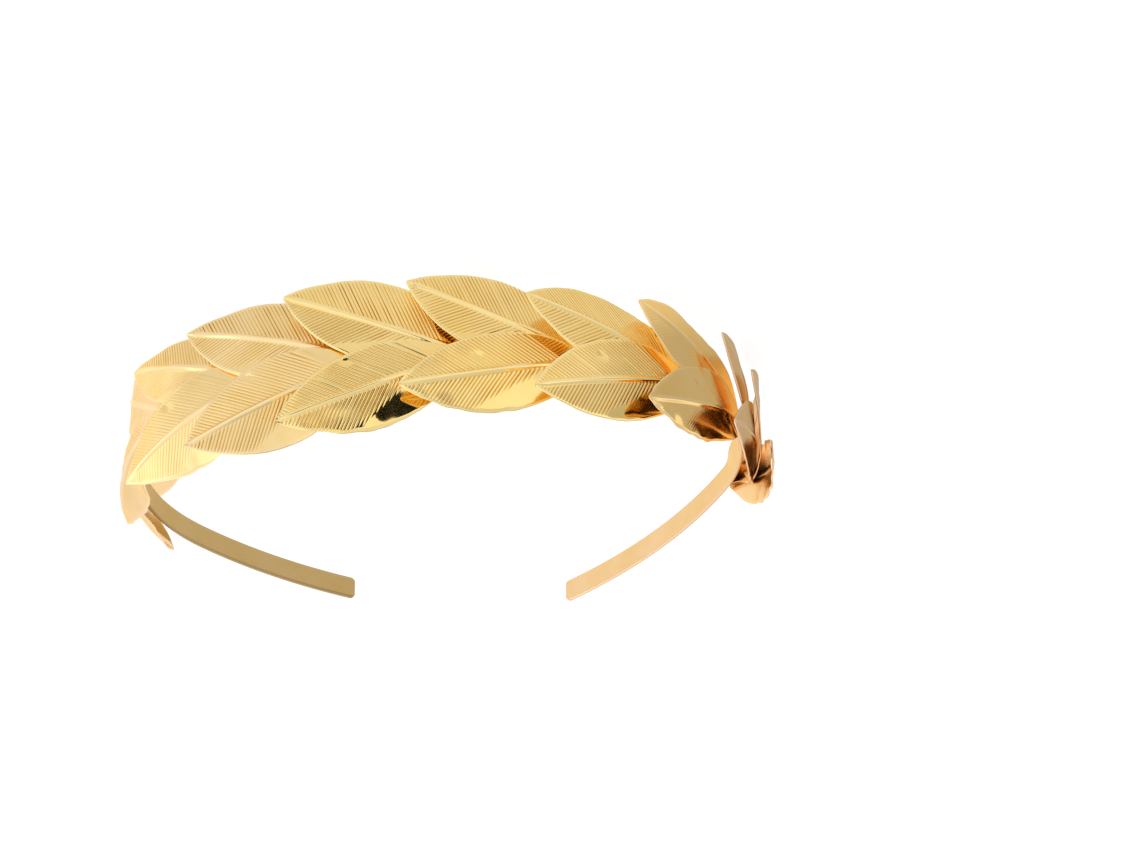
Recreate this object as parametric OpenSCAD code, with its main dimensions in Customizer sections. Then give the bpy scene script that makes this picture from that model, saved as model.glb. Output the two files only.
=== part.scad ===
// Laurel wreath crown: an open metal hairband with ten pairs of stamped leaves round its front.
// Every leaf points the same way round. Pair 1 lies on top at the left, and each pair covers the
// feet of the next one. The crown rests on the tips of its lower leaves, with its front at -Y.

/* [Band] */
// Height of the band strip (mm)
band_height = 6; // [4:0.5:9]
// Thickness of the band strip (mm)
band_thickness = 1; // [0.6:0.1:1.6]
// Corner radius of the two band ends (mm)
end_corner_radius = 1.2; // [0.4:0.1:1.8]
// Bend radius over the forehead (mm)
front_radius = 146; // [125:1:170]
// Bend radius at the left temple (mm)
left_temple_radius = 44.4; // [40:0.1:55]
// Bend radius at the right temple (mm)
right_temple_radius = 54; // [46:0.5:62]
// Bend radius behind the left temple (mm)
left_rear_radius = 180; // [140:1:240]
// Bend radius behind the right temple (mm)
right_rear_radius = 140; // [110:1:200]

/* [Band turns] */
// Turn of the front bend, left of the middle (degrees)
left_front_turn = 11.7; // [8:0.1:16]
// Turn at the left temple (degrees)
left_temple_turn = 94.4; // [86:0.1:100]
// Turn behind the left temple (degrees)
left_rear_turn = 25.2; // [15:0.1:32]
// Turn of the front bend, right of the middle (degrees)
right_front_turn = 18.6; // [14:0.1:22]
// Turn at the right temple (degrees)
right_temple_turn = 111.3; // [100:0.1:116]
// Turn behind the right temple (degrees)
right_rear_turn = 20.6; // [12:0.1:28]

/* [Kink] */
// Distance of the band's kink from the front middle, round the left side (mm)
kink_place = 93; // [85:1:110]
// Length of the twisted stretch to each side of the kink (mm)
kink_reach = 12; // [8:0.5:16]
// Lean of the band at the kink (degrees)
kink_lean = 18; // [0:1:35]

/* [Leaves] */
// Length of a leaf from foot to tip (mm)
leaf_length = 45; // [40:0.5:50]
// Greatest width of a leaf (mm)
leaf_width = 19; // [16:0.5:21]
// Thickness of the leaf sheet (mm)
leaf_thickness = 0.4; // [0.3:0.05:0.5]
// Spacing of the leaf pairs at the front (mm)
pair_pitch = 27; // [25:0.5:30]
// Width of the raised midrib (mm)
rib_width = 1.8; // [1.2:0.1:2.4]
// Height of the raised midrib (mm)
rib_height = 0.7; // [0.3:0.05:1]
// Height of a lower leaf's foot under the band's centre line (mm)
low_foot = 0.5; // [0:0.1:1.5]
// Height of an upper leaf's foot over the band's centre line (mm)
high_foot = 1; // [0:0.1:1.5]
// Clear gap between a leaf and what it is laid on (mm)
seat_gap = 0.15; // [0.1:0.05:0.3]

/* [Hidden] */
PAIRS = 10;
LOW_NAMES = [for (n = [1:PAIRS]) str("lower_leaf_", n)];
HIGH_NAMES = [for (n = [1:PAIRS]) str("upper_leaf_", n)];

// Columns of PAIR_SHAPES
SPRING = 0;  // bend radius, as a share of the band's mean radius under the leaf
LIFT = 1;    // angle off the band beyond what the layers need (degrees)
SPREAD = 2;  // angle of the upper leaf off the lower one beyond what its rib needs (degrees)

PAIR_SHAPES = [
    [1.25, 0.9, 1.8],
    [1.38, 0.7, 0.4],
    [1.45, 0.3, 0],
    [1.45, 0.3, 0],
    [1.65, 0.3, 0],
    [1.60, 0.3, 0],
    [1.60, 1.0, 0],
    [1.12, 0.3, 0],
    [1.05, 0.2, 0],
    [0.95, 0.3, 0],
];

// Columns of LOW_LEAVES and HIGH_LEAVES
PLACE = 0;   // foot's place from the front middle, as a share of pair_pitch, positive to the right
TILT = 1;    // slope of the midrib away from the band's centre line (degrees)
FOLD = 2;    // turn of the outer half inwards about the midrib (degrees)
WIDTH = 3;   // width, as a share of leaf_width

LOW_LEAVES = [
    [-3.92, 8, -2, 0.86],
    [-3.55, 15, 10, 0.84],
    [-2.76, 16, 14, 1.03],
    [-1.88, 13, 16, 1.08],
    [-0.92, 22, 7, 1.09],
    [0.12, 21, -6, 1.06],
    [1.00, 19, 6, 1.12],
    [2.00, 21, 15, 0.96],
    [3.04, 31, 5, 0.86],
    [3.80, 18, 8, 0.90],
];

HIGH_LEAVES = [
    [-3.88, 20, 7, 0.80],
    [-3.53, 14, 12, 0.98],
    [-2.75, 16, 17, 0.93],
    [-1.88, 17, 0, 1.08],
    [-0.93, 13, 14, 1.02],
    [0.14, 21, 11, 1.07],
    [0.98, 22, 26, 1.13],
    [1.86, 20, 31, 1.13],
    [3.08, 9, 40, 1.00],
    [3.80, 6, 40, 0.68],
];

// Columns of SECTIONS
DOWN = 0;        // place from the foot, as a share of leaf_length
HALF = 1;        // half width, as a share of the widest
RIB = 2;         // height of the midrib, as a share of rib_height
FOLD_SHARE = 3;  // turn of the outer half, as a share of its fold

SECTIONS = [
    [0, 0.20, 0.05, 0],
    [0.08, 0.46, 0.15, 0],
    [0.20, 0.78, 0.35, 0.1],
    [0.34, 0.95, 0.70, 0.5],
    [0.48, 1.00, 1.00, 0.9],
    [0.60, 0.95, 1.00, 1],
    [0.74, 0.79, 0.95, 1],
    [0.86, 0.52, 0.80, 1],
    [0.94, 0.28, 0.60, 1],
    [1, 0.03, 0.30, 1],
];

// Lower leaves whose tips the crown rests on
FEET = [2, 5, 9];

// Longest step between sections of the band (mm)
band_step = 4;

LEFT_ARCS = [
    [front_radius, left_front_turn],
    [left_temple_radius, left_temple_turn],
    [left_rear_radius, left_rear_turn],
];
RIGHT_ARCS = [
    [front_radius, right_front_turn],
    [right_temple_radius, right_temple_turn],
    [right_rear_radius, right_rear_turn],
];

layer = leaf_thickness + seat_gap;
// Least lift of a leaf, which takes it over two layers in the pitch of the pairs
base_lift = atan(2 * layer / pair_pitch);
// How far past the next pair's feet a leaf still lies over them
lap = 0.35 * leaf_length;
// An upper leaf stands off further, to clear the rib of the lower leaf under it
rib_lift = atan(2 * rib_height / leaf_length);
low_seat = band_thickness / 2 + seat_gap + leaf_thickness / 2;
high_seat = low_seat + layer;

function arc_length(arc) = arc[0] * arc[1] * PI / 180;
function side_length(arcs) = arc_length(arcs[0]) + arc_length(arcs[1]) + arc_length(arcs[2]);
left_length = side_length(LEFT_ARCS);
right_length = side_length(RIGHT_ARCS);

// Follows the arcs of one side from the front middle: [x, y, heading]
function walk(arcs, rest, x = 0, y = 0, heading = 0, k = 0) =
    let (
        radius = arcs[k][0],
        wanted = rest / radius * 180 / PI,
        last = k == len(arcs) - 1,
        turn = last ? wanted : min(wanted, arcs[k][1]),
        end = heading + turn,
        x_end = x + radius * (sin(end) - sin(heading)),
        y_end = y + radius * (cos(heading) - cos(end))
    )
    last || turn == wanted
        ? [x_end, y_end, end]
        : walk(arcs, rest - radius * turn * PI / 180, x_end, y_end, end, k + 1);

// The band's centre line at a place, which is negative on the left side
function path(place) =
    place < 0
        ? let (w = walk(LEFT_ARCS, -place)) [-w[0], w[1], -w[2]]
        : walk(RIGHT_ARCS, place);

function along(heading) = [cos(heading), sin(heading)];
function outward(heading) = [sin(heading), -cos(heading)];

// Share of the full lean: one at the kink, falling to none at its reach
function kink_share(place) =
    let (off = min(1, abs(place + kink_place) / kink_reach))
    pow(cos(90 * off), 2);

// Half height of the strip, rounded off at both ends
function strip_half(place) =
    let (
        from_end = max(0, min(place + left_length, right_length - place)),
        corner = end_corner_radius,
        cut = from_end < corner ? corner - sqrt(corner * corner - pow(corner - from_end, 2)) : 0
    )
    band_height / 2 - cut;

// A point of the band: the kink swings its upper side out, about the upper edge's own place
function band_point(place, up, out) =
    let (
        at = path(place),
        lean = kink_lean * kink_share(place),
        below_top = strip_half(place) * (up - 1),
        swung_out = out * cos(lean) + below_top * sin(lean),
        height = band_height / 2 + below_top * cos(lean) - out * sin(lean),
        level = strip_half(place) - band_height / 2,
        flat = [at[0], at[1]] + outward(at[2]) * swung_out
    )
    [flat[0], flat[1], height + level];

function even_places(from, to) =
    let (steps = ceil((to - from) / band_step))
    [for (i = [0:steps]) from + (to - from) * i / steps];

CORNER_SHARES = [0, 0.15, 0.5];
LEFT_END = [for (share = CORNER_SHARES) -left_length + share * end_corner_radius];
RIGHT_END = [for (i = [len(CORNER_SHARES) - 1:-1:0]) right_length - CORNER_SHARES[i] * end_corner_radius];
BAND_PLACES = concat(
    LEFT_END,
    even_places(-left_length + end_corner_radius, right_length - end_corner_radius),
    RIGHT_END
);

// Corners of the strip's section: [out, up]
STRIP_CORNERS = [[-1, -1], [1, -1], [1, 1], [-1, 1]];
BAND_POINTS = [
    for (place = BAND_PLACES)
        for (corner = STRIP_CORNERS)
            band_point(place, corner[1], corner[0] * band_thickness / 2)
];

// Faces of a skin between rows of points that are closed round, with its two end caps
function tube_faces(rows, round) =
    concat(
        [[for (j = [round - 1:-1:0]) j]],
        [[for (j = [0:round - 1]) (rows - 1) * round + j]],
        [
            for (i = [0:rows - 2])
                for (j = [0:round - 1])
                    let (a = i * round + j, b = i * round + (j + 1) % round)
                    each [[a, b + round, a + round], [a, b, b + round]]
        ]
    );

function leaf_row(side, pair) = side < 0 ? LOW_LEAVES[pair] : HIGH_LEAVES[pair];
function foot_place(side, pair) = leaf_row(side, pair)[PLACE] * pair_pitch;

// Bend radius of a leaf: the circle that turns as far over its length as the band does, and its spring
function leaf_radius(side, pair) =
    let (place = foot_place(side, pair))
    PAIR_SHAPES[pair][SPRING] * leaf_length * 180 / PI / (path(place + leaf_length)[2] - path(place)[2]);

// How far a leaf that leaves the band in line with it has bent in towards the band further on
function bent_in(side, pair, ahead) =
    let (
        radius = leaf_radius(side, pair),
        foot = path(foot_place(side, pair)),
        there = path(foot_place(side, pair) + ahead),
        band_in = [foot[0] - there[0], foot[1] - there[1]] * outward(foot[2])
    )
    radius * (1 - cos(ahead / radius * 180 / PI)) - band_in;

// Angle that takes a lower leaf over the next pair's upper leaf, past that leaf's foot
function lift_over(pair, past, next_lift) =
    let (
        ahead = foot_place(1, pair + 1) - foot_place(-1, pair) + past,
        next_rise = past * tan(next_lift) - bent_in(1, pair + 1, past)
    )
    atan((2 * layer + next_rise + bent_in(-1, pair, ahead)) / ahead);

function high_lift(pair, low_lift) = low_lift + rib_lift + PAIR_SHAPES[pair][SPREAD];

// Lift of every lower leaf, from the last pair back to the first
function lifts_back(pair, found) =
    pair < 0 ? found : lifts_back(
        pair - 1,
        let (next = high_lift(pair + 1, found[0]))
        let (needed = max(base_lift, max([for (past = [0, lap / 2, lap]) lift_over(pair, past, next)])))
        concat([needed + PAIR_SHAPES[pair][LIFT]], found)
    );
LOW_LIFTS = lifts_back(PAIRS - 2, [base_lift + PAIR_SHAPES[PAIRS - 1][LIFT]]);

// A point of a leaf at a section: across it to the outer margin, and off its middle
function leaf_point(side, pair, section, across, off) =
    let (
        row = leaf_row(side, pair),
        foot = path(foot_place(side, pair)),
        seat = side < 0 ? low_seat : high_seat,
        foot_height = side < 0 ? low_foot : high_foot,
        lift = side < 0 ? LOW_LIFTS[pair] : high_lift(pair, LOW_LIFTS[pair]),
        fold = across > 0 ? row[FOLD] * section[FOLD_SHARE] : 0,
        down = section[DOWN] * leaf_length,
        flat_across = across * cos(fold),
        raised = off - across * sin(fold),
        forward = down * cos(row[TILT]) - flat_across * sin(row[TILT]),
        height = side * (foot_height + down * sin(row[TILT]) + flat_across * cos(row[TILT])),
        ahead = along(foot[2] - lift),
        away = outward(foot[2] - lift),
        radius = leaf_radius(side, pair),
        turned = forward / radius * 180 / PI,
        start = [foot[0], foot[1]] + outward(foot[2]) * seat,
        middle = start + ahead * radius * sin(turned) - away * radius * (1 - cos(turned)),
        normal = away * cos(turned) + ahead * sin(turned),
        flat = middle + normal * raised
    )
    [flat[0], flat[1], height];

// Places across a leaf: both margins, the middle of each half, and the foot and crest of the rib
function across_places(half, rib_half) = [-half, -half / 2 - rib_half / 2, -rib_half, 0,
                                          rib_half, half / 2 + rib_half / 2, half];

ACROSS = 7;
CREST = 3;

function leaf_points(side, pair) = [
    for (skin = [1, -1])
        for (section = SECTIONS)
            let (
                half = section[HALF] * leaf_width * leaf_row(side, pair)[WIDTH] / 2,
                rib_half = min(rib_width / 2, half / 2),
                places = across_places(half, rib_half)
            )
            for (j = [0:ACROSS - 1])
                leaf_point(
                    side, pair, section, places[j],
                    skin * leaf_thickness / 2 + (j == CREST ? rib_height * section[RIB] : 0)
                )
];

function two_triangles(a, b, c, d) = [[a, b, c], [a, c, d]];
function turned_over(faces) = [for (f = faces) [f[2], f[1], f[0]]];

// Faces of a thin sheet of points in rows, an outer skin and an inner one
function sheet_faces(rows, columns) =
    let (inner = rows * columns, last_row = (rows - 1) * columns, last = columns - 1)
    concat(
        [
            for (i = [0:rows - 2])
                for (j = [0:columns - 2])
                    let (a = i * columns + j, b = a + columns)
                    each concat(
                        two_triangles(a, a + 1, b + 1, b),
                        two_triangles(inner + a, inner + b, inner + b + 1, inner + a + 1)
                    )
        ],
        [
            for (j = [0:columns - 2])
                each concat(
                    two_triangles(j, inner + j, inner + j + 1, j + 1),
                    two_triangles(last_row + j, last_row + j + 1, inner + last_row + j + 1,
                                  inner + last_row + j)
                )
        ],
        [
            for (i = [0:rows - 2])
                let (a = i * columns, b = a + columns)
                each concat(
                    two_triangles(a, b, inner + b, inner + a),
                    two_triangles(a + last, inner + a + last, inner + b + last, b + last)
                )
        ]
    );

LEAF_FACES = sheet_faces(len(SECTIONS), ACROSS);
LOW_POINTS = [for (pair = [0:PAIRS - 1]) leaf_points(-1, pair)];
HIGH_POINTS = [for (pair = [0:PAIRS - 1]) leaf_points(1, pair)];

// The resting plane goes through three leaf tips
function unit(v) = v / norm(v);
function tip(n) = leaf_point(-1, n - 1, SECTIONS[len(SECTIONS) - 1], 0, 0);
UP = unit(cross(tip(FEET[1]) - tip(FEET[0]), tip(FEET[2]) - tip(FEET[0])));
BACK = unit([0, 1, 0] - UP * UP[1]);
RIGHT = cross(BACK, UP);
function stood(points) = [for (p = points) [p * RIGHT, p * BACK, p * UP]];

// The origin is the middle of the underside of the box round the whole crown
EVERY_POINT = stood(concat(BAND_POINTS, [for (leaf = concat(LOW_POINTS, HIGH_POINTS)) each leaf]));
function spread(axis) = [for (p = EVERY_POINT) p[axis]];
function middle_of(values) = (min(values) + max(values)) / 2;
ORIGIN = [middle_of(spread(0)), middle_of(spread(1)), min(spread(2))];
function placed(points) = [for (p = stood(points)) p - ORIGIN];

module band() {
    color([0.95, 0.80, 0.55])
        polyhedron(placed(BAND_POINTS), tube_faces(len(BAND_PLACES), len(STRIP_CORNERS)), convexity = 8);
}

module lower_leaf(n) {
    color([0.91, 0.77, 0.45])
        polyhedron(placed(LOW_POINTS[n - 1]), turned_over(LEAF_FACES), convexity = 4);
}

module upper_leaf(n) {
    color([0.93, 0.80, 0.50])
        polyhedron(placed(HIGH_POINTS[n - 1]), LEAF_FACES, convexity = 4);
}

band();
for (n = [1:PAIRS]) {
    lower_leaf(n);
    upper_leaf(n);
}
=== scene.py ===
"""Stamped leaves, bent strip, gold finishes and studio for the laurel wreath crown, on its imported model."""

import math
from collections import namedtuple

import bmesh
import bpy
from bpy.props import FloatProperty, FloatVectorProperty, PointerProperty
from mathutils import Matrix, Vector, noise


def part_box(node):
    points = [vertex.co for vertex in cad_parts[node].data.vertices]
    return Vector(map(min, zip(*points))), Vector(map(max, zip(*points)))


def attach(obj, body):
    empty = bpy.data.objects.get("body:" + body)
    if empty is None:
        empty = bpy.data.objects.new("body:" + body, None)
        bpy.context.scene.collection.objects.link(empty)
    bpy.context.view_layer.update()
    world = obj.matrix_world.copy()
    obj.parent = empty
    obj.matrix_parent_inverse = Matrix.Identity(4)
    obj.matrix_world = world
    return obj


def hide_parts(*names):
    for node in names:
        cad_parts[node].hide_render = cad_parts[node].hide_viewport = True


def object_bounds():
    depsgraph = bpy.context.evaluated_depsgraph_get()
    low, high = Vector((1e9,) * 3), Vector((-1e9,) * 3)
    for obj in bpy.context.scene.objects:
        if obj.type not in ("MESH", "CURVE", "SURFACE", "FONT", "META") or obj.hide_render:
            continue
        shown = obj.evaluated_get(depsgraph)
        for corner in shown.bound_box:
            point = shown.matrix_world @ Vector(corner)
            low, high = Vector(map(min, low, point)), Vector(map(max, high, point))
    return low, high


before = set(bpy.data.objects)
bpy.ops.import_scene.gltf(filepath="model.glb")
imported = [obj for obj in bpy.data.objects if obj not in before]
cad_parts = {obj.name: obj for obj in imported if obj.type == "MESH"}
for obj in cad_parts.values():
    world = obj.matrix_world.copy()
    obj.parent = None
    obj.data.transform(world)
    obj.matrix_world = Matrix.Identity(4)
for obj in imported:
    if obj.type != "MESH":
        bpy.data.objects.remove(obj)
CAD_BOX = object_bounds()

bl_info = {
    "name": "Laurel Wreath Crown",
    "version": (1, 0, 0),
    "blender": (4, 5, 0),
    "location": "3D View > Sidebar > Crown",
    "description": "Makes the band and stamped leaves of a gold laurel wreath crown",
    "category": "Object",
}

MM = 0.001
BODY = "root"
PAIRS = 10
# Points of a piece nearer than this become one
MERGED = 0.002 * MM


def table(kind, rows):
    """The rows of a table, with their columns named."""
    return [kind(*row) for row in rows]


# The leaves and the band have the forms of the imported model. For each pair: how much wider the circle of a
# leaf is than the band's own, how many degrees both leaves lift, and how many more the upper one does
PairShape = namedtuple("PairShape", "spring lift spread")
PAIR_SHAPES = table(PairShape, [
    (1.25, 0.9, 1.8),
    (1.38, 0.7, 0.4),
    (1.45, 0.3, 0),
    (1.45, 0.3, 0),
    (1.65, 0.3, 0),
    (1.60, 0.3, 0),
    (1.60, 1.0, 0),
    (1.12, 0.3, 0),
    (1.05, 0.2, 0),
    (0.95, 0.3, 0),
])

# place is in pitches of the pairs from the front middle, tilt and fold are degrees, width is a share
LeafRow = namedtuple("LeafRow", "place tilt fold width")
LOW_LEAVES = table(LeafRow, [
    (-3.92, 8, -2, 0.86),
    (-3.55, 15, 10, 0.84),
    (-2.76, 16, 14, 1.03),
    (-1.88, 13, 16, 1.08),
    (-0.92, 22, 7, 1.09),
    (0.12, 21, -6, 1.06),
    (1.00, 19, 6, 1.12),
    (2.00, 21, 15, 0.96),
    (3.04, 31, 5, 0.86),
    (3.80, 18, 8, 0.90),
])
HIGH_LEAVES = table(LeafRow, [
    (-3.88, 20, 7, 0.80),
    (-3.53, 14, 12, 0.98),
    (-2.75, 16, 17, 0.93),
    (-1.88, 17, 0, 1.08),
    (-0.93, 13, 14, 1.02),
    (0.14, 21, 11, 1.07),
    (0.98, 22, 26, 1.13),
    (1.86, 20, 31, 1.13),
    (3.08, 9, 40, 1.00),
    (3.80, 6, 40, 0.68),
])

# down is a share of the leaf length; half width, rib height and fold are shares of their greatest
Section = namedtuple("Section", "down half rib fold_share")
SECTIONS = table(Section, [
    (0, 0.20, 0.05, 0),
    (0.08, 0.46, 0.15, 0),
    (0.20, 0.78, 0.35, 0.1),
    (0.34, 0.95, 0.70, 0.5),
    (0.48, 1.00, 1.00, 0.9),
    (0.60, 0.95, 1.00, 1),
    (0.74, 0.79, 0.95, 1),
    (0.86, 0.52, 0.80, 1),
    (0.94, 0.28, 0.60, 1),
    (1, 0.03, 0.30, 1),
])
CURVE_STEPS = 400
# The lower leaves that the crown rests on
FEET = (2, 5, 9)
# How far a leaf lies over the next pair, as a share of its length
LAP = 0.35

# How each leaf departs from the common outline: shares of its half width near the foot, at the middle and
# far out on the outer margin, and on the inner margin, and in millimetres the height of the margin's waves,
# how far the tip is pressed in and how far it sways to the outer side
Margin = namedtuple("Margin", "near middle far inner waves pressed sway")
LOW_MARGINS = table(Margin, [
    (1, 1, 1, 1.35, 0.15, 0, 0),
    (1, 1, 1, 1.35, 0.1, 0, 0),
    (0.84, 0.78, 1, 1.1, 0.2, 0, 0),
    (0.85, 1.02, 1.06, 1, 0.08, 0, 0),
    (0.95, 1, 0.94, 1, 0.06, 0, 0),
    (1.06, 1.01, 0.92, 1, 0.06, 0, 0),
    (1.02, 0.98, 0.85, 1, 0.08, 0, -1.8),
    (1, 0.93, 0.7, 1, 0.15, 0, 0),
    (1, 1, 1, 1, 0.2, 0, 0),
    (1, 1, 1, 1, 0.2, 0, 0),
])
HIGH_MARGINS = table(Margin, [
    (1, 1, 1, 1, 0.5, 0, 0),
    (1, 1, 1, 1, 0.2, 0, 0),
    (0.86, 0.97, 1, 1.1, 0.4, 0, 0),
    (0.97, 1.04, 1.06, 1, 0.25, 0, 0),
    (1.04, 1.04, 1, 1, 0.25, 0, 0),
    (1.04, 1.03, 0.95, 1, 0.25, 0, 0),
    (1.12, 1.06, 1, 1, 0.15, 0, 0),
    (1.14, 1.055, 0.95, 1, 0.15, 0, 0),
    (1.12, 1.1, 1, 0.6, 0.3, 0.6, 0),
    (1, 1.2, 1.7, 1.4, 0.2, 0.2, 0),
])


def length(name, text, millimetres, low, high):
    """A length property, given in millimetres and kept in metres."""
    return FloatProperty(
        name=name, description=text, default=millimetres * MM,
        min=low * MM, max=high * MM, precision=5, unit="LENGTH",
    )


def turn(name, text, degrees):
    """An angle property, given in degrees and kept in radians."""
    return FloatProperty(name=name, description=text, default=math.radians(degrees), unit="ROTATION")


def share(name, text, value):
    """A property from 0 to 1."""
    return FloatProperty(name=name, description=text, default=value, min=0, max=1, subtype="FACTOR")


def colour(name, text, value):
    """A linear colour property."""
    return FloatVectorProperty(
        name=name, description=text, default=value, size=3, min=0, max=1, subtype="COLOR",
    )


def power(name, text, watts):
    """The power of a light."""
    return FloatProperty(name=name, description=text, default=watts, min=0, unit="POWER")


class CrownBandSizes(bpy.types.PropertyGroup):
    """Sizes of the bent strip."""

    height: length("Strip height", "Height of the band strip", 6, 4, 9)
    thickness: length("Strip thickness", "Thickness of the band strip", 1, 0.6, 1.6)
    corner: length("End corners", "Corner radius of the two band ends", 1.2, 0.4, 1.8)
    edge: length("Edge rounding", "Rounding of the strip's long edges", 0.22, 0.05, 0.4)
    front_radius: length("Front radius", "Bend radius over the forehead", 146, 125, 170)
    left_temple_radius: length("Left temple radius", "Bend radius at the left temple", 44.4, 40, 55)
    right_temple_radius: length("Right temple radius", "Bend radius at the right temple", 54, 46, 62)
    left_rear_radius: length("Left rear radius", "Bend radius behind the left temple", 180, 140, 240)
    right_rear_radius: length("Right rear radius", "Bend radius behind the right temple", 140, 110, 200)
    left_front_turn: turn("Left front turn", "Turn of the front bend, left of the middle", 11.7)
    left_temple_turn: turn("Left temple turn", "Turn at the left temple", 94.4)
    left_rear_turn: turn("Left rear turn", "Turn behind the left temple", 25.2)
    right_front_turn: turn("Right front turn", "Turn of the front bend, right of the middle", 18.6)
    right_temple_turn: turn("Right temple turn", "Turn at the right temple", 111.3)
    right_rear_turn: turn("Right rear turn", "Turn behind the right temple", 20.6)
    kink_place: length("Kink place", "Distance of the kink from the front middle", 93, 85, 110)
    kink_reach: length("Kink reach", "Twisted length to each side of the kink", 12, 8, 16)
    kink_lean: turn("Kink lean", "Lean of the strip at the kink", 18)


class CrownLeafSizes(bpy.types.PropertyGroup):
    """Sizes of the stamped leaves."""

    length: length("Leaf length", "Length of a leaf from foot to tip", 45, 40, 50)
    width: length("Leaf width", "Greatest width of a leaf", 19, 16, 21)
    thickness: length("Sheet thickness", "Thickness of the leaf sheet", 0.4, 0.3, 0.5)
    pitch: length("Pair pitch", "Spacing of the leaf pairs at the front", 27, 25, 30)
    rib_width: length("Midrib width", "Width of the raised midrib", 1.8, 1.2, 2.4)
    rib_height: length("Midrib height", "Height of the raised midrib", 0.7, 0.3, 1)
    low_foot: length("Lower foot", "How far a lower leaf's foot is under the band's middle", 0.5, 0, 1.5)
    high_foot: length("Upper foot", "How far an upper leaf's foot is over the band's middle", 1, 0, 1.5)
    gap: length("Seat gap", "Clear gap between a leaf and what it is laid on", 0.15, 0.1, 0.3)
    groove_pitch: length("Groove pitch", "Spacing of the stamped grooves along the midrib", 1.08, 0.7, 2)
    groove_depth: length("Groove depth", "Depth of the stamped grooves", 0.16, 0, 0.25)
    groove_angle: turn("Groove angle", "Angle of the grooves to the midrib", 46)


class CrownFinishes(bpy.types.PropertyGroup):
    """Colours of the gold plating."""

    rosy_gold: colour("Rosy gold", "Plating of the two pairs at the left end", (0.87, 0.59, 0.3))
    satin_gold: colour("Satin gold", "Plating of the third pair", (0.93, 0.62, 0.225))
    front_gold: colour("Front gold", "Plating of the leaves at the front", (0.97, 0.685, 0.24))
    # Painted highlight: the leaves right of the front and at the right end are plated paler, standing in for
    # their hazy whitish sheen
    bright_gold: colour("Bright gold", "Plating of the leaves right of the front", (0.93, 0.67, 0.28))
    pale_gold: colour("Pale gold", "Plating of the leaves at the right end", (0.88, 0.64, 0.33))
    band_gold: colour("Band gold", "Plating of the strip", (0.79, 0.53, 0.245))
    # Painted shade: the strip's right arm is plated darker, as if its inner face lay in shade
    shade_painted_gold: colour("Aged gold", "Plating of the strip's right arm", (0.445, 0.3, 0.113))
    edge_gold: colour("Edge gold", "Tint of what the gold mirrors at a flat angle", (1, 0.86, 0.6))
    # Painted shade: the plating darkens in the grooves' valleys, where shade falls
    groove_tint: colour("Groove tint", "How the plating deepens in the grooves", (0.58, 0.4, 0.18))
    # Painted highlight: the plating is paled on the midrib's crest and the margins; the same pale tone also
    # colours the cloudy patches
    crest_tint: FloatVectorProperty(
        name="Crest tint", description="How the plating pales on the midrib and the margins",
        default=(1.12, 1.17, 1.6), size=3, min=1, max=2,
    )


class CrownStudio(bpy.types.PropertyGroup):
    """The floor, the lights and the camera."""

    elevation: turn("Elevation", "Camera angle to the band's plane", 28)
    distance: length("Distance", "Distance of the camera from the crown", 650, 400, 1200)
    floor: colour("Floor", "Colour of the floor", (0.35, 0.35, 0.35))
    glow: share("Floor glow", "Light that comes up through the floor, as through a light table", 0.8)
    walls: share("Wall light", "Light of the white walls round the table", 0.85)
    ceiling: share("Ceiling light", "Light of the dim ceiling", 0.32)
    bright_ceiling: share("Bright ceiling", "Light of the ceiling over the crown's right side", 0.8)
    top: power("Top light", "Power of the soft light overhead", 1.5)
    side: power("Side light", "Power of the soft light at the side", 0.3)


def sizes(name):
    """The property group of that name on the scene."""
    return getattr(bpy.context.scene, name)


def smooth(value, low, high):
    """0 below low, 1 above high and an S curve between them."""
    t = min(1.0, max(0.0, (value - low) / (high - low)))
    return t * t * (3 - 2 * t)


def walk(arcs, rest):
    """Follows one side's bends from the front middle: x, y and heading."""
    x = y = heading = 0.0
    for number, (radius, most) in enumerate(arcs):
        last = number == len(arcs) - 1
        turned = rest / radius if last else min(rest / radius, most)
        end = heading + turned
        x += radius * (math.sin(end) - math.sin(heading))
        y += radius * (math.cos(heading) - math.cos(end))
        heading = end
        rest -= radius * turned
        if rest <= 0:
            break
    return x, y, heading


# Rows of the strip: at its ends as shares of the corner radius, and then evenly
END_ROWS = (0, 0.04, 0.15, 0.35, 0.65)
ROW_STEP = 1.2 * MM


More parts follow.
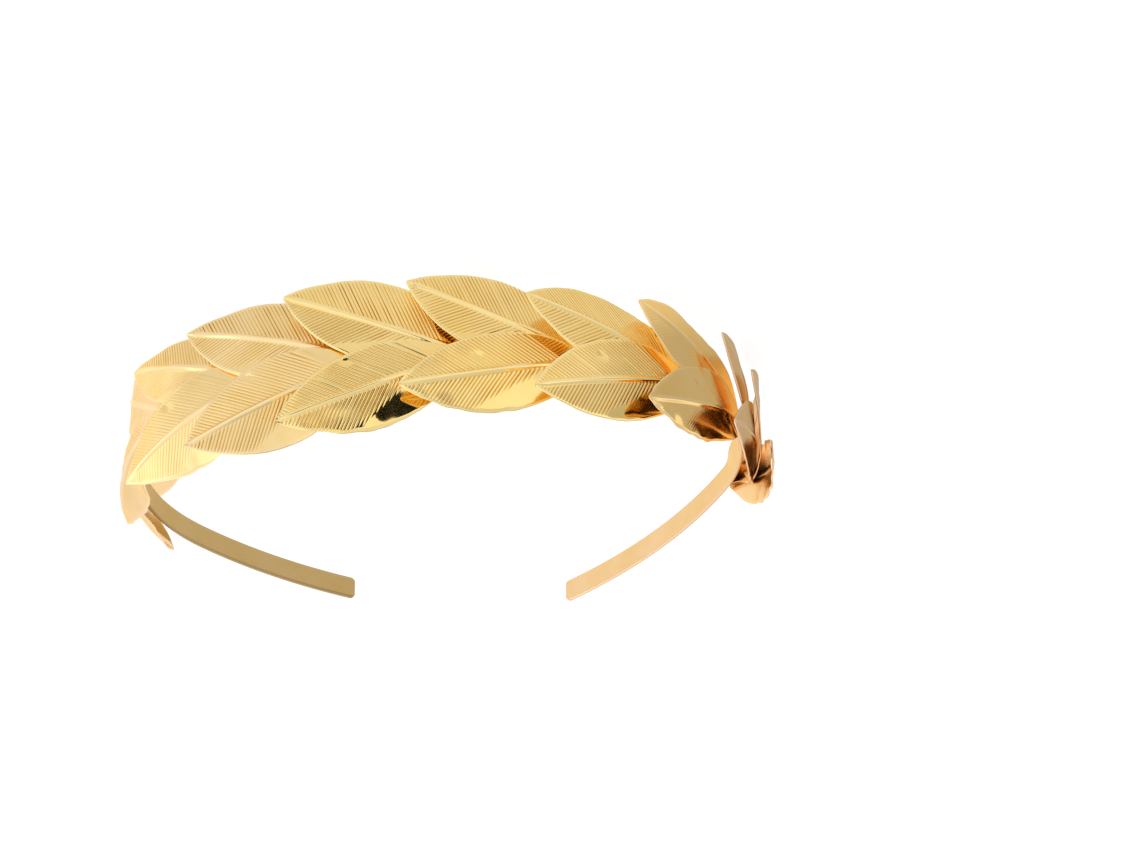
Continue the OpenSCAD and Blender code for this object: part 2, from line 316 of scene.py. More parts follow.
class Strip:
    """The band's centre line and its bent skin, before the crown is stood on its feet."""

    def __init__(self):
        self.band = band = sizes("crown_band")
        self.left = [
            (band.front_radius, band.left_front_turn),
            (band.left_temple_radius, band.left_temple_turn),
            (band.left_rear_radius, band.left_rear_turn),
        ]
        self.right = [
            (band.front_radius, band.right_front_turn),
            (band.right_temple_radius, band.right_temple_turn),
            (band.right_rear_radius, band.right_rear_turn),
        ]
        self.left_length = sum(radius * turned for radius, turned in self.left)
        self.right_length = sum(radius * turned for radius, turned in self.right)

    def path(self, place):
        """The centre line at a place, which is negative on the left: x, y, heading."""
        if place < 0:
            x, y, heading = walk(self.left, -place)
            return -x, y, -heading
        return walk(self.right, place)

    def half(self, place):
        """Half height of the strip, rounded off at both ends."""
        corner = self.band.corner
        from_end = max(0.0, min(place + self.left_length, self.right_length - place))
        if from_end >= corner:
            return self.band.height / 2
        return self.band.height / 2 - corner + math.sqrt(corner ** 2 - (corner - from_end) ** 2)

    def places(self):
        """Places of the strip's rows: close together at the rounded ends, even between them."""
        corner = self.band.corner
        ends = [share_of_corner * corner for share_of_corner in END_ROWS]
        low, high = -self.left_length + corner, self.right_length - corner
        steps = int((high - low) / ROW_STEP)
        middle = [low + (high - low) * i / steps for i in range(steps + 1)]
        left = [end - self.left_length for end in ends]
        right = [self.right_length - end for end in reversed(ends)]
        return left + middle + right

    def point(self, place, up, out):
        """A point of the strip; the kink swings its upper side out, about the upper edge's own place."""
        x, y, heading = self.path(place)
        off = min(1.0, abs(place + self.band.kink_place) / self.band.kink_reach)
        lean = self.band.kink_lean * math.cos(math.pi / 2 * off) ** 2
        below_top = self.half(place) * (up - 1)
        swung = out * math.cos(lean) + below_top * math.sin(lean)
        height = self.half(place) + below_top * math.cos(lean) - out * math.sin(lean)
        return Vector((x + math.sin(heading) * swung, y - math.cos(heading) * swung, height))


def along(heading):
    """The way that the band runs."""
    return Vector((math.cos(heading), math.sin(heading)))


def outward(heading):
    """The way off the band, away from the head."""
    return Vector((math.sin(heading), -math.cos(heading)))


def section_curve(column):
    """A column of the sections at even places down the leaf, on a smooth curve through its rows."""
    def slope(k):
        """Rise of the curve at a row."""
        low, high = max(0, k - 1), min(len(SECTIONS) - 1, k + 1)
        rise = getattr(SECTIONS[high], column) - getattr(SECTIONS[low], column)
        return rise / (SECTIONS[high].down - SECTIONS[low].down)

    values = []
    for i in range(CURVE_STEPS + 1):
        down = i / CURVE_STEPS
        k = max(k for k in range(len(SECTIONS) - 1) if SECTIONS[k].down <= down)
        a, b = SECTIONS[k], SECTIONS[k + 1]
        step = b.down - a.down
        t = (down - a.down) / step
        first, second = getattr(a, column), getattr(b, column)
        values.append(
            (2 * t ** 3 - 3 * t ** 2 + 1) * first + (t ** 3 - 2 * t ** 2 + t) * step * slope(k)
            + (3 * t ** 2 - 2 * t ** 3) * second + (t ** 3 - t ** 2) * step * slope(k + 1)
        )
    return values


CURVES = {column: section_curve(column) for column in ("half", "rib", "fold_share")}


def in_sections(down, column):
    """A column of the sections at a place down the leaf."""
    values = CURVES[column]
    at = down * (len(values) - 1)
    k = min(int(at), len(values) - 2)
    return values[k] + (values[k + 1] - values[k]) * (at - k)


class Wreath:
    """Where every leaf leaves the band, how it lifts and how it bends."""

    def __init__(self):
        self.leaf = leaf = sizes("crown_leaf")
        self.strip = Strip()
        thickness = self.strip.band.thickness
        self.layer = leaf.thickness + leaf.gap
        self.base_lift = math.atan(2 * self.layer / leaf.pitch)
        self.rib_lift = math.atan(2 * leaf.rib_height / leaf.length)
        self.low_seat = thickness / 2 + leaf.gap + leaf.thickness / 2
        self.high_seat = self.low_seat + self.layer
        lap = LAP * leaf.length
        lifts = [self.base_lift + math.radians(PAIR_SHAPES[-1].lift)]
        for pair in range(PAIRS - 2, -1, -1):
            following = self.high_lift(pair + 1, lifts[0])
            needed = [self.lift_over(pair, past, following) for past in (0, lap / 2, lap)]
            lifts.insert(0, max([self.base_lift] + needed) + math.radians(PAIR_SHAPES[pair].lift))
        self.lifts = lifts
        self.stand()

    def row(self, side, pair):
        """The table row of a leaf; side is -1 for the lower leaves and 1 for the upper ones."""
        return LOW_LEAVES[pair] if side < 0 else HIGH_LEAVES[pair]

    def place(self, side, pair):
        """Where a leaf leaves the band."""
        return self.row(side, pair).place * self.leaf.pitch

    def radius(self, side, pair):
        """The circle that turns as far over the leaf's length as the band does, times its spring."""
        place = self.place(side, pair)
        turned = self.strip.path(place + self.leaf.length)[2] - self.strip.path(place)[2]
        return PAIR_SHAPES[pair].spring * self.leaf.length / turned

    def bent_in(self, side, pair, ahead):
        """How far a leaf without lift has bent towards the head, more than the band has."""
        radius = self.radius(side, pair)
        x, y, heading = self.strip.path(self.place(side, pair))
        there = self.strip.path(self.place(side, pair) + ahead)
        band_in = Vector((x - there[0], y - there[1])).dot(outward(heading))
        return radius * (1 - math.cos(ahead / radius)) - band_in

    def lift_over(self, pair, past, next_lift):
        """The lift with which a lower leaf clears the next pair's upper leaf, a way past its foot."""
        ahead = self.place(1, pair + 1) - self.place(-1, pair) + past
        next_rise = past * math.tan(next_lift) - self.bent_in(1, pair + 1, past)
        return math.atan((2 * self.layer + next_rise + self.bent_in(-1, pair, ahead)) / ahead)

    def high_lift(self, pair, low_lift):
        """The lift of an upper leaf, which lies over the midrib of its lower partner."""
        return low_lift + self.rib_lift + math.radians(PAIR_SHAPES[pair].spread)

    def lift(self, side, pair):
        """The angle between a leaf and the band at the leaf's foot."""
        return self.lifts[pair] if side < 0 else self.high_lift(pair, self.lifts[pair])

    def stand(self):
        """Turns the crown onto three leaf tips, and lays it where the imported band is."""
        tips = [Blade(self, -1, n - 1).point(1, 0, 0) for n in FEET]
        up = (tips[1] - tips[0]).cross(tips[2] - tips[0]).normalized()
        back = (Vector((0, 1, 0)) - up * up.y).normalized()
        self.turned = Matrix((back.cross(up), back, up))
        skin = [
            self.turned @ self.strip.point(place, up_share, out * self.strip.band.thickness / 2)
            for place in self.strip.places()
            for up_share in (-1, 1)
            for out in (-1, 1)
        ]
        low_band, high_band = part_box("band")
        middle = [(min(p[axis] for p in skin) + max(p[axis] for p in skin)) / 2 for axis in range(3)]
        self.shift = (low_band + high_band) / 2 - Vector(middle)

    def placed(self, point):
        """A point where it is once the crown is stood up."""
        return self.turned @ point + self.shift


class Blade:
    """The bent middle surface of one leaf, before the crown is stood up."""

    def __init__(self, wreath, side, pair):
        leaf, row = wreath.leaf, wreath.row(side, pair)
        x, y, heading = wreath.strip.path(wreath.place(side, pair))
        lifted = heading - wreath.lift(side, pair)
        self.side, self.length = side, leaf.length
        self.tilt, self.fold = math.radians(row.tilt), math.radians(row.fold)
        self.foot_height = leaf.low_foot if side < 0 else leaf.high_foot
        self.radius = wreath.radius(side, pair)
        self.start = Vector((x, y)) + outward(heading) * (wreath.low_seat if side < 0 else wreath.high_seat)
        self.ahead, self.away = along(lifted), outward(lifted)

    def point(self, down, across, off, sway=0.0):
        """A point down the leaf, across it to the outer margin, and off it; sway bends the tip aside."""
        fold = self.fold * in_sections(down, "fold_share") if across > 0 else 0
        out = across * math.cos(fold) + sway * down ** 2
        raised = off - across * math.sin(fold)
        forward = down * self.length * math.cos(self.tilt) - out * math.sin(self.tilt)
        height = self.foot_height + down * self.length * math.sin(self.tilt) + out * math.cos(self.tilt)
        turned = forward / self.radius
        bent = self.ahead * math.sin(turned) - self.away * (1 - math.cos(turned))
        normal = self.away * math.cos(turned) + self.ahead * math.sin(turned)
        at = self.start + bent * self.radius + normal * raised
        return Vector((at.x, at.y, self.side * height))


def new_object(name, data):
    """An object in the scene, at the origin."""
    made = bpy.data.objects.new(name, data)
    bpy.context.scene.collection.objects.link(made)
    return made


def new_piece(name, bm):
    """A piece with the finished shape."""
    mesh = bpy.data.meshes.new(name)
    bm.to_mesh(mesh)
    bm.free()
    return new_object(name, mesh)


def grid_sheet(name, rows, columns, spot, marks):
    """A sheet with two skins: a flat grid is extruded once, and spot() moves each of its points."""
    bm = bmesh.new()
    bmesh.ops.create_grid(bm, x_segments=rows, y_segments=columns, size=0.5)
    for v in bm.verts:
        v.co.z = 0.5
    extruded = bmesh.ops.extrude_face_region(bm, geom=bm.faces[:])
    for element in extruded["geom"]:
        if isinstance(element, bmesh.types.BMVert):
            element.co.z = -0.5
    layers = [bm.verts.layers.float.new(mark) for mark in marks]
    surface = bm.verts.layers.float_vector.new("surface")
    for v in bm.verts:
        i = round((v.co.x + 0.5) * rows)
        j = round((v.co.y + 0.5) * columns)
        v.co, where, values = spot(i, j, 2 * v.co.z)
        v[surface] = where
        for layer, value in zip(layers, values):
            v[layer] = value
    bmesh.ops.remove_doubles(bm, verts=bm.verts[:], dist=MERGED)
    bmesh.ops.recalc_face_normals(bm, faces=bm.faces[:])
    piece = new_piece(name, bm)
    piece.data.shade_smooth()
    return piece


# Rows of the grid within one groove, from one valley to the next, and how far each stands up
GROOVE_ROWS = [(0, 0), (0.11, 0.5), (0.24, 0.93), (0.5, 1), (0.76, 0.93), (0.89, 0.5)]
# Columns of the grid in one half of a leaf: over the rib as shares of its half width, then to the margin
RIB_COLUMNS = [0, 0.3, 0.55, 0.8, 1, 1.25]
BLADE_COLUMNS = 11
# The last column but one is a rim's width inside the margin, or near the tip a tenth of the way
RIM = 0.14 * MM
RIM_PARTS = 10

# How sharply each pair is stamped, as shares of the full rib and groove, and in millimetres its dents
Stamping = namedtuple("Stamping", "rib inner outer dents")
FAINT = Stamping(0.22, 0.12, 0.2, 0.06)
SOFT = Stamping(0.45, 0.6, 0.5, 0.1)
SHARP = Stamping(0.66, 1.3, 1.5, 0.1)
LOW_STAMPING = [FAINT] * 3 + [SHARP] * 5 + [SOFT] * 2
HIGH_STAMPING = [FAINT] * 3 + [SHARP] * 4 + [SOFT] * 3
# Where an upper leaf is welded to the strip, and the size of the mark
WELD_DOWN = 25.5 * MM
WELD_HEIGHT = 2.6 * MM
WELD_RADIUS = 1.7 * MM
WELD_DEPTH = 0.3 * MM
# Its flat bottom, and where the grooves round it end and are whole again
WELD_BOTTOM = 0.2 * WELD_RADIUS
WELD_CLEAR = 0.7 * WELD_RADIUS
WELD_GROOVED = 1.3 * WELD_RADIUS

# Where each of these sets in down the leaf and where it is full, as shares of the length
INNER_MARGIN = (0.1, 0.3)
MIDDLE_MARGIN = (0.3, 0.6)
FAR_MARGIN = (0.6, 0.85)
WAVY_MARGIN = (0.25, 0.4)
FREE_OF_WELD = (0.3, 0.5)
SLANTED_GROOVES = (-0.02, 0.14)
# The inner margin's waves are this share of the outer margin's. The last third of each half also ruffles
# out of its plane, by this share of the waves' height.
INNER_WAVES = 0.3
RUFFLED = (0.65, 1)
RUFFLE = 0.5
WAVE_LENGTH = 3.4 * MM
DENT_LENGTH = 7 * MM
DENT_WIDTH = 5 * MM

# The leaf's foot has no grooves: how long that is at the midrib, in millimetres, and how much longer per
# millimetre across. It is long on an upper leaf's outer half and on a lower leaf's inner half.
LONG_FOOT = (6, 2.6)
SHORT_FOOT = (4, 0.7)
FOOT_FADE = 4 * MM
RIM_FADE = 4 * RIM
# How unevenly the grooves are struck, from one to the next and from patch to patch
Uneven = namedtuple("Uneven", "middle swing")
EACH_GROOVE = Uneven(0.85, 0.5)
EACH_PATCH = Uneven(0.9, 0.35)
GROOVE_NOISE = 0.9
PATCH_LENGTH = 9 * MM
PATCH_WIDTH = 6 * MM
# Where the noise makes a groove stand up, this much of it is left
RAISED_GROOVE = 0.12
# A groove is this much as deep behind, where it shows as a ridge
REAR_GROOVE = 0.4
# Rows of the noise that are apart, so that no two effects match
GROOVE_ROW = 3
PATCH_ROW = 5
RUFFLE_ROW = 9
NOISE_GAIN = 1.6

RIB_ROUNDING = 1.5
# The rib's flank, where the grooves set in, and its crest that gets a painted highlight, as shares of the
# rib's half width
FLANK = (0.85, 1.15)
CREST = (0.45, 0.85)
# How far in from the margin the painted highlight reaches
PALE_MARGIN = 0.9 * MM
# The sheet is this much as thick at its margin
THIN_MARGIN = 0.35
# How far the two skins are apart where their scuffs are laid out
SKIN_MARK = 0.2 * MM
HALVINGS = 20


class Leaf:
    """One stamped leaf."""

    def __init__(self, wreath, side, pair):
        self.wreath, self.side = wreath, side
        self.blade = Blade(wreath, side, pair)
        leaf = wreath.leaf
        self.length = leaf.length
        self.half_width = leaf.width * wreath.row(side, pair).width / 2
        self.margin = (LOW_MARGINS if side < 0 else HIGH_MARGINS)[pair]
        self.seed = 10.0 * pair + side
        self.grooves = int(leaf.length / leaf.groove_pitch)
        self.rows = self.grooves * len(GROOVE_ROWS)
        self.half_columns = len(RIB_COLUMNS) + BLADE_COLUMNS
        self.columns = 2 * self.half_columns
        self.stamping = (LOW_STAMPING if side < 0 else HIGH_STAMPING)[pair]
        tilt = self.blade.tilt
        rise = WELD_HEIGHT - self.blade.foot_height - WELD_DOWN * math.sin(tilt)
        self.weld = Vector((WELD_DOWN, rise / math.cos(tilt))) if side > 0 else None
        starts = [self.row_place(i)[0] for i in range(self.rows + 1)]
        self.ends = {sign: [self.margin_place(start, sign) for start in starts] for sign in (-1, 1)}

    def unevenness(self, x, y):
        """Smooth noise of this leaf alone, from about -1 to 1."""
        return NOISE_GAIN * noise.noise(Vector((x, y, self.seed)))

    def half(self, down, sign):
        """Half width on one side of the midrib; sign is 1 for the outer half and -1 for the inner one."""
        margin = self.margin
        if sign > 0:
            share_of_half = margin.near + (margin.middle - margin.near) * smooth(down, *MIDDLE_MARGIN)
            share_of_half += (margin.far - margin.middle) * smooth(down, *FAR_MARGIN)
        else:
            share_of_half = 1 + (margin.inner - 1) * smooth(down, *INNER_MARGIN)
        wave = self.unevenness(down * self.length / WAVE_LENGTH, sign) * smooth(down, *WAVY_MARGIN)
        waves = margin.waves * MM * wave * (1 if sign > 0 else INNER_WAVES)
        return in_sections(down, "half") * (self.half_width * share_of_half + waves)

    def row_place(self, i):
        """Where a row of the grid leaves the midrib, and how high its groove stands there."""
        groove, step = divmod(i, len(GROOVE_ROWS))
        share_of_groove, stands = GROOVE_ROWS[step]
        return min(1.0, (groove + share_of_groove) / self.grooves), stands

    def margin_place(self, start, sign):
        """Where the row that leaves the midrib at start meets the margin."""
        spread = smooth(start, *SLANTED_GROOVES) / math.tan(self.wreath.leaf.groove_angle) / self.length
        low, high = start, 1.0
        for _ in range(HALVINGS):
            middle = (low + high) / 2
            if middle - spread * self.half(middle, sign) < start:
                low = middle
            else:
                high = middle
        return (low + high) / 2

    def across(self, column, half, rib_half):
        """Distance of a column from the midrib."""
        if column < len(RIB_COLUMNS):
            return RIB_COLUMNS[column] * rib_half
        first = RIB_COLUMNS[-1] * rib_half
        step = column - len(RIB_COLUMNS) + 1
        if step == BLADE_COLUMNS + 1:
            return half
        rim = min(RIM, (half - first) / RIM_PARTS)
        return first + (half - rim - first) * step / BLADE_COLUMNS

    def grooving(self, down, across, half, sign, groove):
        """How deep the grooves are at a place, as a share: shallow at the foot and the rim."""
        at_rib, growth = LONG_FOOT if sign * self.side > 0 else SHORT_FOOT
        foot = (at_rib + growth * across / MM) * MM
        deep = self.stamping.outer if sign > 0 else self.stamping.inner
        deep *= smooth(down * self.length, foot, foot + FOOT_FADE) * smooth(half - across, RIM, RIM_FADE)
        groove_noise = self.unevenness(groove * GROOVE_NOISE, GROOVE_ROW * sign)
        deep *= EACH_GROOVE.middle + EACH_GROOVE.swing * groove_noise
        patch_noise = self.unevenness(down * self.length / PATCH_LENGTH, PATCH_ROW + across / PATCH_WIDTH)
        deep *= EACH_PATCH.middle + EACH_PATCH.swing * patch_noise
        return max(RAISED_GROOVE * deep, deep)

    def spot(self, i, j, skin):
        """A grid point on the leaf, its place on the sheet and its marks; skin is 1 in front, -1 behind."""
        start, stands = self.row_place(i)
        sign = 1 if j >= self.half_columns else -1
        column = abs(j - self.half_columns)
        end = self.ends[sign][i]
        half = self.half(end, sign)
        leaf = self.wreath.leaf
        rib_half = min(leaf.rib_width / 2, half / 2)
        across = self.across(column, half, rib_half)
        t = across / half
        down = start + (end - start) * t
        rib = math.cos(math.pi / 2 * min(1.0, across / rib_half)) ** RIB_ROUNDING
        rib *= leaf.rib_height * in_sections(down, "rib") * self.stamping.rib
        fade = smooth(across, rib_half * FLANK[0], rib_half * FLANK[1])
        fade *= self.grooving(down, across, half, sign, i // len(GROOVE_ROWS))
        bowl = 0.0
        if self.weld:
            from_weld = (Vector((down * self.length, sign * across)) - self.weld).length
            fade *= smooth(from_weld, WELD_CLEAR, WELD_GROOVED)
            bowl = WELD_DEPTH * (1 - smooth(from_weld, WELD_BOTTOM, WELD_RADIUS))
        groove = leaf.groove_depth * (stands - 1) * fade * (1 if skin > 0 else REAR_GROOVE)
        free = smooth(down, *FREE_OF_WELD)
        dents = self.unevenness(down * self.length / DENT_LENGTH, sign * across / DENT_WIDTH) * free
        ruffle = self.unevenness(down * self.length / WAVE_LENGTH, RUFFLE_ROW + sign)
        ruffle *= free * smooth(t, *RUFFLED)
        buckled = self.stamping.dents * dents + RUFFLE * self.margin.waves * ruffle
        buckled -= self.margin.pressed * down ** 2
        thin = THIN_MARGIN if column == self.half_columns else 1
        off = skin * leaf.thickness / 2 * thin + rib + groove + buckled * MM - bowl
        point = self.wreath.placed(self.blade.point(down, sign * across, off, self.margin.sway * MM))
        # Painted highlight: the plating is paled along the margin and on the rib's crest
        margin = smooth(half - across, PALE_MARGIN, 0)
        crest = 1 - smooth(across, CREST[0] * rib_half, CREST[1] * rib_half)
        where = Vector((down * self.length, sign * across, skin * SKIN_MARK))
        # The second mark is the groove's valley, where painted shade darkens the plating
        return point, where, (max(margin, crest), (1 - stands) * fade)

    def build(self, name):
        """The stamped sheet of this leaf."""
        return grid_sheet(name, self.rows, self.columns, self.spot, ("margin", "valley"))


# Columns of the strip, and its margins that are paled as a painted highlight, as shares of its half height
BAND_COLUMNS = [-1, -0.93, -0.7, -0.35, 0, 0.35, 0.7, 0.93, 1]
BAND_MARGIN = (0.8, 1)
# Where the right arm's plating turns to the darker tone of painted shade, from the front middle
SHADE_PAINTED_ARM = (-20 * MM, 60 * MM)


def build_band(wreath, name):
    """The bent strip."""
    strip = wreath.strip
    places = strip.places()

    def spot(i, j, skin):
        """A grid point on the strip, its place on the sheet and its marks."""
        up = BAND_COLUMNS[j]
        at_edge = abs(up) == 1 or i in (0, len(places) - 1)
        out = skin * (strip.band.thickness / 2 - (strip.band.edge if at_edge else 0))
        point = wreath.placed(strip.point(places[i], up, out))
        where = Vector((places[i], up * strip.band.height / 2, out))
        valley = 0.0
        # The margins are paled as a painted highlight, and the right arm is darkened as painted shade
        return point, where, (smooth(abs(up), *BAND_MARGIN), valley, smooth(places[i], *SHADE_PAINTED_ARM))

    return grid_sheet(name, len(places) - 1, len(BAND_COLUMNS) - 1, spot, ("margin", "valley", "aged"))


# The sockets of a Mix node that mixes colours, whose names repeat for each kind of data
MIX_INPUTS = (0, 6, 7)
MIX_RESULT = 2


def opaque(tone):
    """A colour as a colour socket takes it."""
    return (*tone, 1)


class NodeSheet:
    """Adds nodes to a tree and fills or links their sockets."""

    def __init__(self, tree):
        self.tree = tree

    def link(self, output, socket):
        """Links an output to a socket."""
        self.tree.links.new(output, socket)

    def fill(self, socket, value):
        """Links an output to a socket, or sets a plain value on it."""
        if isinstance(value, bpy.types.NodeSocket):
            self.link(value, socket)
        else:
            socket.default_value = value

    def add(self, kind, settings=None, **values):
        """A node with its settings and the values of its inputs, by name."""
        node = self.tree.nodes.new(kind)
        for key, value in (settings or {}).items():
            setattr(node, key, value)
        for key, value in values.items():
            self.fill(node.inputs[key.replace("_", " ")], value)
        return node

    def attribute(self, name):
        """One of the marks on the mesh."""
        return self.add("ShaderNodeAttribute", {"attribute_name": name})

    def ramp(self, value, stops):
        """A grey ramp over a value."""
        node = self.add("ShaderNodeValToRGB", Fac=value)
        for element, (position, tone) in zip(node.color_ramp.elements, stops):
            element.position = position
            element.color = opaque((tone, tone, tone))
        return node.outputs["Color"]

    def blend(self, factor, a, b):
        """A mix of two colours."""
        node = self.add("ShaderNodeMix", {"data_type": "RGBA"})
        for number, value in zip(MIX_INPUTS, (factor, a, b)):
            self.fill(node.inputs[number], value)
        return node.outputs[MIX_RESULT]

    def ease(self, value, reach, low, high):
        """An S curve from low to high over the reach of a value."""
        node = self.add(
            "ShaderNodeMapRange", {"interpolation_type": "SMOOTHSTEP"}, Value=value,
            From_Min=reach[0], From_Max=reach[1], To_Min=low, To_Max=high,
        )
        return node.outputs["Result"]

    def maths(self, operation, *values, kind="ShaderNodeMath", result="Value"):
        """A sum on numbers, or with the vector node on vectors."""
        node = self.add(kind, {"operation": operation})
        for socket, value in zip(node.inputs, values):
            self.fill(socket, value)
        return node.outputs[result]

    def show(self, shader):
        """Ends a material in its shader."""
        out = self.add("ShaderNodeOutputMaterial")
        self.link(shader, out.inputs["Surface"])


def new_material(name):
    """A material with no nodes yet, and the sheet for them."""
    material = bpy.data.materials.new(name)
    material.use_nodes = True
    material.node_tree.nodes.clear()
    return material, NodeSheet(material.node_tree)


# How much the plating pales with its clouds, how much it pales on the margins and the midrib's crest as a
# painted highlight, and how much it deepens in the grooves as painted shade
CLOUDS = [(0.35, 0.0), (0.7, 0.5)]
PAINTED_HIGHLIGHT = 0.8
PAINTED_GROOVE_SHADE = 0.7
# How fine the rolling lines are, along the leaf or strip and across it, and the depth of all scuffs
ROLLING_LINES = (300, 4000, 1)
SCUFF_DEPTH = 0.02 * MM

# Kinds of sockets of the node groups
NUMBER = "NodeSocketFloat"
VECTOR = "NodeSocketVector"
COLOUR = "NodeSocketColor"


def new_group(name, inputs, outputs):
    """A shader node group with named sockets, the sheet for its nodes, and its two ends."""
    group = bpy.data.node_groups.new(name, "ShaderNodeTree")
    for way, sockets in (("INPUT", inputs), ("OUTPUT", outputs)):
        for socket, kind in sockets.items():
            group.interface.new_socket(socket, in_out=way, socket_type=kind)
    n = NodeSheet(group)
    return group, n, n.add("NodeGroupInput"), n.add("NodeGroupOutput")


def plating_group():
    """Colour of thin gold plating: cloudy tone, deeper in the grooves as painted shade, and paler on the
    margins and the midrib's crest as a painted highlight.
    """
    found = bpy.data.node_groups.get("gold_plating")
    if found:
        return found
    inputs = {
        "Vector": VECTOR, "Tone": COLOUR, "Pale": COLOUR, "Deep": COLOUR,
        "Margin": NUMBER, "Valley": NUMBER,
    }
    group, n, taken, given = new_group("gold_plating", inputs, {"Color": COLOUR})
    where = taken.outputs["Vector"]
    cloud = n.add("ShaderNodeTexNoise", Vector=where, Scale=90.0, Detail=3.0, Roughness=0.55)
    pale = taken.outputs["Pale"]
    cloudy = n.blend(n.ramp(cloud.outputs["Fac"], CLOUDS), taken.outputs["Tone"], pale)
    # Painted highlight: the margin mark pales the margins and the midrib's crest
    highlighted = n.blend(n.maths("MULTIPLY", taken.outputs["Margin"], PAINTED_HIGHLIGHT), cloudy, pale)
    # Painted shade: the valley mark darkens the grooves
    valley = n.maths("MULTIPLY", taken.outputs["Valley"], PAINTED_GROOVE_SHADE)
    n.link(n.blend(valley, highlighted, taken.outputs["Deep"]), given.inputs["Color"])
    return group


def polish_group():
    """Roughness and fine scuffs of a rolled sheet that was polished, stamped and handled."""
    found = bpy.data.node_groups.get("sheet_polish")
    if found:
        return found
    inputs = {
        "Vector": VECTOR, "Surface": VECTOR, "Smoothest": NUMBER, "Dullest": NUMBER, "Scuffs": NUMBER,
    }
    group, n, taken, given = new_group("sheet_polish", inputs, {"Roughness": NUMBER, "Normal": VECTOR})
    where = taken.outputs["Vector"]
    haze = n.add("ShaderNodeTexNoise", Vector=where, Scale=60.0, Detail=4.0, Roughness=0.6)
    spread = n.add(
        "ShaderNodeMapRange", Value=haze.outputs["Fac"], From_Min=0.3, From_Max=0.7,
        To_Min=taken.outputs["Smoothest"], To_Max=taken.outputs["Dullest"],
    )
    n.link(spread.outputs["Result"], given.inputs["Roughness"])
    stretched = n.add("ShaderNodeMapping", Vector=taken.outputs["Surface"], Scale=ROLLING_LINES)
    lines = n.add("ShaderNodeTexNoise", Vector=stretched.outputs["Vector"], Scale=1.0, Detail=2.0)
    grain = n.add("ShaderNodeTexNoise", Vector=where, Scale=900.0, Detail=3.0)
    both = n.maths("ADD", lines.outputs["Fac"], grain.outputs["Fac"])
    bump = n.add("ShaderNodeBump", Height=both, Strength=taken.outputs["Scuffs"], Distance=SCUFF_DEPTH)
    n.link(bump.outputs["Normal"], given.inputs["Normal"])
    return group


def tinted(tone, tint):
    """A colour times a tint, no brighter than white."""
    return [min(1.0, c * t) for c, t in zip(tone, tint)]


def gold_finish(name, tone, polish, aged=None):
    """A gold material that follows the piece's own surface, and may turn along it to a darker tone that is
    painted shade.
    """
    material, n = new_material(name)
    colours = sizes("crown_finish")
    where = n.add("ShaderNodeTexCoord").outputs["Object"]
    # The pale tone is a painted highlight where the margin mark is, and the clouds' pale patches elsewhere
    pale = tinted(tone, colours.crest_tint)
    # The deep tone is painted shade in the groove valleys
    tones = {"Tone": opaque(tone), "Pale": opaque(pale), "Deep": opaque(tinted(tone, colours.groove_tint))}
    # Along the strip the tone turns darker on the right arm: painted shade
    if aged:
        along_strip = n.attribute("aged").outputs["Fac"]
        tones["Tone"] = n.blend(along_strip, opaque(tone), opaque(aged))
        tones["Pale"] = n.blend(along_strip, opaque(pale), opaque(tinted(aged, colours.crest_tint)))
    plating = n.add(
        "ShaderNodeGroup", {"node_tree": plating_group()}, Vector=where, **tones,
        Margin=n.attribute("margin").outputs["Fac"], Valley=n.attribute("valley").outputs["Fac"],
    )
    scuffed = n.add(
        "ShaderNodeGroup", {"node_tree": polish_group()}, Vector=where,
        Surface=n.attribute("surface").outputs["Vector"],
        Smoothest=polish.smoothest, Dullest=polish.dullest, Scuffs=polish.scuffs,
    )
    gold = n.add(
        "ShaderNodeBsdfPrincipled", Metallic=1.0, Specular_Tint=opaque(colours.edge_gold),
        Base_Color=plating.outputs["Color"], Roughness=scuffed.outputs["Roughness"],
        Normal=scuffed.outputs["Normal"],
    )
    n.show(gold.outputs["BSDF"])
    return material


# The roughness of a finish, from its smoothest to its dullest patches, and how strong its scuffs are
Polish = namedtuple("Polish", "smoothest dullest scuffs")
BAND_POLISH = Polish(0.22, 0.36, 0.2)
# Finishes of the leaves from the left end on, with the last pair of each
LeafFinish = namedtuple("LeafFinish", "last_pair tone polish")
LEAF_FINISHES = [
    LeafFinish(2, "rosy_gold", Polish(0.12, 0.22, 0.08)),
    LeafFinish(3, "satin_gold", Polish(0.08, 0.16, 0.06)),
    LeafFinish(6, "front_gold", Polish(0.05, 0.13, 0.015)),
    # These two tones are paler as a painted highlight
    LeafFinish(8, "bright_gold", Polish(0.08, 0.18, 0.05)),
    LeafFinish(10, "pale_gold", Polish(0.2, 0.34, 0.1)),
]


def finish_for_leaf(pair):
    """Rosy and satin gold at the left end, polished gold in front, and right of the front paler gold that is
    a painted highlight for the hazy sheen there.
    """
    finish = next(finish for finish in LEAF_FINISHES if pair < finish.last_pair)
    name = f"leaf_{finish.tone}"
    made = bpy.data.materials.get(name)
    return made or gold_finish(name, getattr(sizes("crown_finish"), finish.tone), finish.polish)


def dress(piece, material, node):
    """Gives a finished piece its material, its body and the node that it stands for."""
    piece.data.materials.append(material)
    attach(piece, BODY)
    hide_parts(node)


def make_leaves(side, word):
    """One row of leaves."""
    wreath = Wreath()
    for pair in range(PAIRS):
        node = f"{word}_leaf_{pair + 1}"
        piece = Leaf(wreath, side, pair).build(f"stamped_{node}")
        dress(piece, finish_for_leaf(pair), node)


